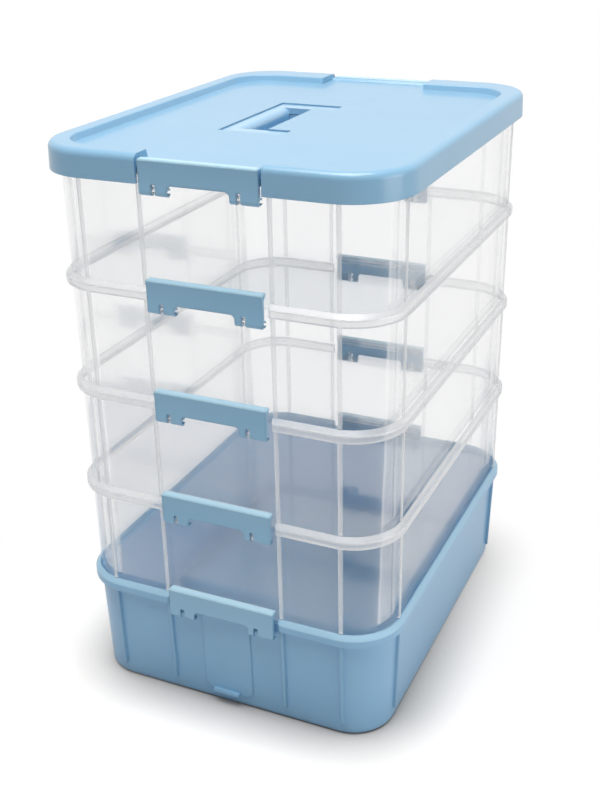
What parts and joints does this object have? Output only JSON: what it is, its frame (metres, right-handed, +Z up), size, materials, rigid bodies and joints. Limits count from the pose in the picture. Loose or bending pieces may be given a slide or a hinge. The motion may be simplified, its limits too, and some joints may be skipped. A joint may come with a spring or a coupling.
{
  "type": "thread spool storage box",
  "caption": "Stack of clear trays on a blue base bin, joined by snap latches front and back, with a blue lid that has a fold-flat carry handle.",
  "frame": {"origin": "centre of the footprint, on the ground", "axes": "+X to the right along the latch face, +Y to the back, +Z up"},
  "size_m": [0.223, 0.281, 0.36],
  "materials": {
    "blue_plastic": "satin moulded polypropylene",
    "clear_plastic": "clear moulded polypropylene, hazy at ribs and rims"
  },
  "bodies": {
    "base_bin": {"base_bin": "blue_plastic"},
    "tray_1": {"tray_1": "clear_plastic"},
    "tray_2": {"tray_2": "clear_plastic"},
    "tray_3": {"tray_3": "clear_plastic"},
    "tray_4": {"tray_4": "clear_plastic"},
    "lid": {"lid": "blue_plastic"},
    "carry_handle": {"carry_handle": "blue_plastic"},
    "latch_front_1": {"latch_front_1": "blue_plastic"},
    "latch_back_1": {"latch_back_1": "blue_plastic"},
    "latch_front_2": {"latch_front_2": "blue_plastic"},
    "latch_back_2": {"latch_back_2": "blue_plastic"},
    "latch_front_3": {"latch_front_3": "blue_plastic"},
    "latch_back_3": {"latch_back_3": "blue_plastic"},
    "latch_front_4": {"latch_front_4": "blue_plastic"},
    "latch_back_4": {"latch_back_4": "blue_plastic"},
    "latch_front_5": {"latch_front_5": "blue_plastic"},
    "latch_back_5": {"latch_back_5": "blue_plastic"}
  },
  "joints": [
    {"name": "tray_1_lift", "type": "slide", "parent": "base_bin", "child": "tray_1", "axis": [0, 0, 1], "range_m": [0, 0.03]},
    {"name": "latch_front_1_hinge", "type": "hinge", "parent": "base_bin", "child": "latch_front_1", "pos_m": [0, -0.1377, 0.066], "axis": [1, 0, 0], "range_deg": [0, 135]},
    {"name": "latch_back_1_hinge", "type": "hinge", "parent": "base_bin", "child": "latch_back_1", "pos_m": [0, 0.1377, 0.066], "axis": [-1, 0, 0], "range_deg": [0, 135]},
    {"name": "tray_2_lift", "type": "slide", "parent": "tray_1", "child": "tray_2", "axis": [0, 0, 1], "range_m": [0, 0.03]},
    {"name": "latch_front_2_hinge", "type": "hinge", "parent": "tray_1", "child": "latch_front_2", "pos_m": [0, -0.1377, 0.1345], "axis": [1, 0, 0], "range_deg": [0, 135]},
    {"name": "latch_back_2_hinge", "type": "hinge", "parent": "tray_1", "child": "latch_back_2", "pos_m": [0, 0.1377, 0.1345], "axis": [-1, 0, 0], "range_deg": [0, 135]},
    {"name": "tray_3_lift", "type": "slide", "parent": "tray_2", "child": "tray_3", "axis": [0, 0, 1], "range_m": [0, 0.03]},
    {"name": "latch_front_3_hinge", "type": "hinge", "parent": "tray_2", "child": "latch_front_3", "pos_m": [0, -0.1377, 0.203], "axis": [1, 0, 0], "range_deg": [0, 135]},
    {"name": "latch_back_3_hinge", "type": "hinge", "parent": "tray_2", "child": "latch_back_3", "pos_m": [0, 0.1377, 0.203], "axis": [-1, 0, 0], "range_deg": [0, 135]},
    {"name": "tray_4_lift", "type": "slide", "parent": "tray_3", "child": "tray_4", "axis": [0, 0, 1], "range_m": [0, 0.03]},
    {"name": "latch_front_4_hinge", "type": "hinge", "parent": "tray_3", "child": "latch_front_4", "pos_m": [0, -0.1377, 0.2715], "axis": [1, 0, 0], "range_deg": [0, 135]},
    {"name": "latch_back_4_hinge", "type": "hinge", "parent": "tray_3", "child": "latch_back_4", "pos_m": [0, 0.1377, 0.2715], "axis": [-1, 0, 0], "range_deg": [0, 135]},
    {"name": "lid_lift", "type": "slide", "parent": "tray_4", "child": "lid", "axis": [0, 0, 1], "range_m": [0, 0.03]},
    {"name": "latch_front_5_hinge", "type": "hinge", "parent": "tray_4", "child": "latch_front_5", "pos_m": [0, -0.1377, 0.34], "axis": [1, 0, 0], "range_deg": [0, 135]},
    {"name": "latch_back_5_hinge", "type": "hinge", "parent": "tray_4", "child": "latch_back_5", "pos_m": [0, 0.1377, 0.34], "axis": [-1, 0, 0], "range_deg": [0, 135]},
    {"name": "handle_hinge", "type": "hinge", "parent": "lid", "child": "carry_handle", "pos_m": [0.0053, -0.00475, 0.3531], "axis": [0, 1, 0], "range_deg": [0, 90]}
  ],
  "couplings": [
    {"joint": "latch_front_1_hinge", "follows": "tray_1_lift", "rad_per_m": 78.54},
    {"joint": "latch_back_1_hinge", "follows": "tray_1_lift", "rad_per_m": 78.54},
    {"joint": "latch_front_2_hinge", "follows": "tray_2_lift", "rad_per_m": 78.54},
    {"joint": "latch_back_2_hinge", "follows": "tray_2_lift", "rad_per_m": 78.54},
    {"joint": "latch_front_3_hinge", "follows": "tray_3_lift", "rad_per_m": 78.54},
    {"joint": "latch_back_3_hinge", "follows": "tray_3_lift", "rad_per_m": 78.54},
    {"joint": "latch_front_4_hinge", "follows": "tray_4_lift", "rad_per_m": 78.54},
    {"joint": "latch_back_4_hinge", "follows": "tray_4_lift", "rad_per_m": 78.54},
    {"joint": "latch_front_5_hinge", "follows": "lid_lift", "rad_per_m": 78.54},
    {"joint": "latch_back_5_hinge", "follows": "lid_lift", "rad_per_m": 78.54}
  ]
}
